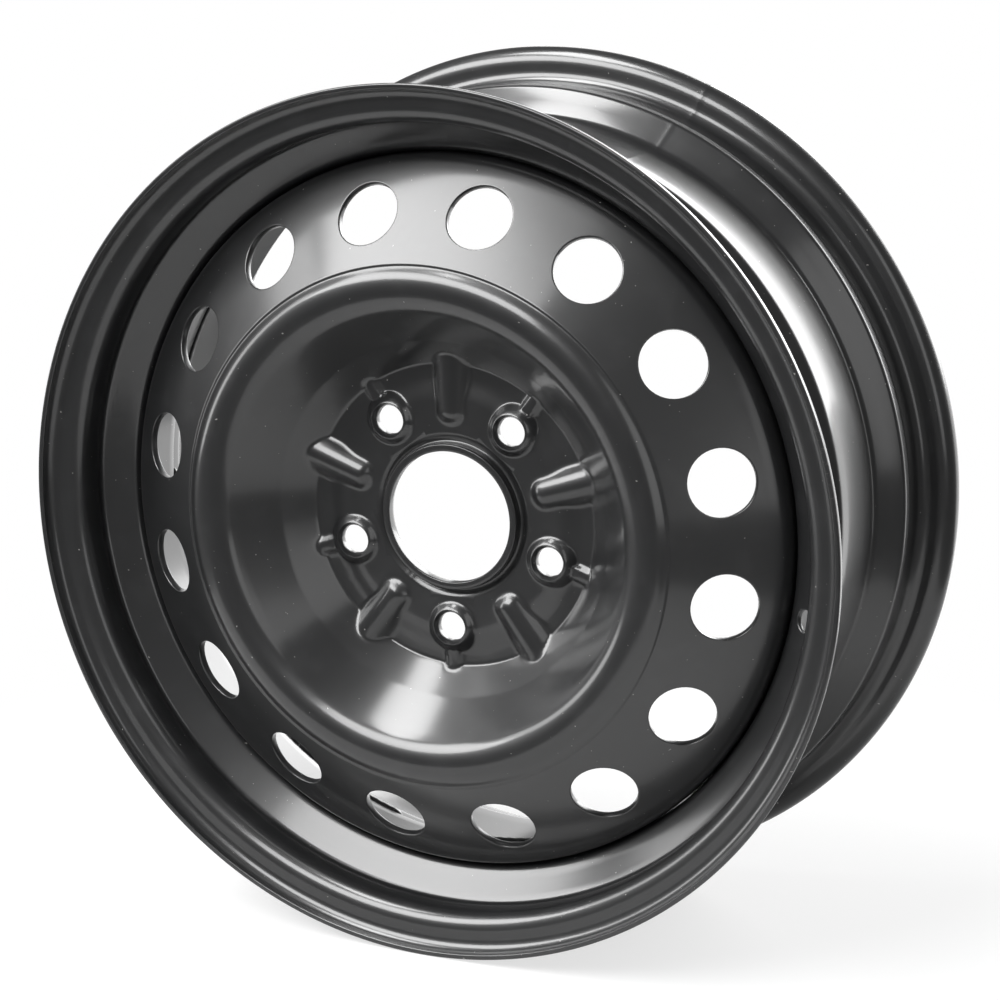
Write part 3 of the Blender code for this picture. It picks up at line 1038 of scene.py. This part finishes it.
rimPaint = blackPaint("rimPaint", paintSet, ticks=tickSet)
discPaint = blackPaint("discPaint", paintSet)
weldPaint = blackPaint("weldPaint", paintSet, bead=beadSet)


def dress(item, material, node):
    item.data.materials.clear()
    item.data.materials.append(material)
    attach(item, "root")
    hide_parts(node)


dress(rimHoop, rimPaint, "rim_hoop")
dress(wheelDisc, discPaint, "wheel_disc")
for number, bead in enumerate(weldBeads, 1):
    dress(bead, weldPaint, f"weld_bead_{number}")
print("materials ready")

# floor, backdrop and light

white = (1, 1, 1, 1)

studioSet = {
    "floorHeight": -220.3 * mm,
    "floorSize": 1.0,
    "floorColour": (0.50, 0.50, 0.50, 1),
    "seenColour": white,  # what the camera sees of the floor
    "floorRoughness": 0.9,
    "shadowShare": 0.32,
    "shadowNear": 0.24,
    "shadowFar": 0.48,
    "worldLight": 0.16,
    "worldSeen": 1.0,
}

lampSet = {
    "frontSoftbox": {"place": (-0.85, -1.39, 1.38), "size": (2.2, 1.0), "power": 66},
    "overheadSoftbox": {"place": (-0.56, -0.38, 1.72), "size": (0.9, 0.55), "power": 22},
    "leftSoftbox": {"place": (-2.2, -0.9, 0.55), "size": (0.6, 1.7), "power": 16},
    "rightSoftbox": {"place": (2.0, -1.6, 0.8), "size": (0.8, 2.2), "power": 8},
    "backSoftbox": {"place": (1.0, 2.6, 1.1), "size": (3.0, 1.9), "power": 90},
    "backdropGlow": {"place": (0.9, 3.2, 0.3), "size": (6.0, 3.4), "power": 110},
}


def addFloor(s):
    # a pale board under the wheel; the camera sees it turn into the white backdrop
    deselectAll()
    bpy.ops.mesh.primitive_plane_add(size=s["floorSize"], location=(0, 0, s["floorHeight"]))
    bpy.ops.object.transform_apply(location=True, rotation=True, scale=True)
    floor = bpy.context.object
    floor.name = "studioFloor"
    finish = Finish("floorPaper")
    seen = finish.node("ShaderNodeLightPath")  # 1 for the camera's own rays
    tone = finish.mix(seen, s["floorColour"], s["seenColour"])
    finish.set(Base_Color=tone, Roughness=s["floorRoughness"])
    x, y = finish.axes()[:2]
    away = ((x * x + y * y) ** 0.5).above(s["shadowNear"], s["shadowFar"])
    share = away * s["shadowShare"] + (1 - s["shadowShare"])
    glow = finish.node("ShaderNodeEmission", None, {"Color": white, "Strength": 1.0})
    paper = Wire(finish, finish.shader.outputs[0])
    both = finish.node("ShaderNodeMixShader", None, {0: seen * share, 1: paper, 2: glow})
    finish.feed(finish.nodes["Material Output"].inputs[0], both)
    floor.data.materials.append(finish.material)


def addLamps(lamps):
    for name, s in lamps.items():
        data = bpy.data.lights.new(name, "AREA")
        data.shape = "RECTANGLE"
        data.size, data.size_y = s["size"]
        data.energy = s["power"]
        lamp = bpy.data.objects.new(name, data)
        scene.collection.objects.link(lamp)
        lamp.location = s["place"]
        lamp.rotation_euler = (-Vector(s["place"])).to_track_quat("-Z", "Y").to_euler()
        lamp.visible_camera = False


def lightWorld(s):
    # a dim world that the camera sees as plain white
    world = bpy.data.worlds.new("studio")
    scene.world = world
    world.use_nodes = True
    nodes, links = world.node_tree.nodes, world.node_tree.links
    path = nodes.new("ShaderNodeLightPath")
    mix = nodes.new("ShaderNodeMixShader")
    links.new(path.outputs["Is Camera Ray"], mix.inputs[0])
    grounds = (nodes["Background"], nodes.new("ShaderNodeBackground"))
    for index, strength in enumerate((s["worldLight"], s["worldSeen"])):
        grounds[index].inputs["Color"].default_value = white
        grounds[index].inputs["Strength"].default_value = strength
        links.new(grounds[index].outputs[0], mix.inputs[index + 1])
    links.new(mix.outputs[0], nodes["World Output"].inputs[0])


addFloor(studioSet)
addLamps(lampSet)
lightWorld(studioSet)
scene.view_settings.view_transform = "Standard"
print("studio ready")
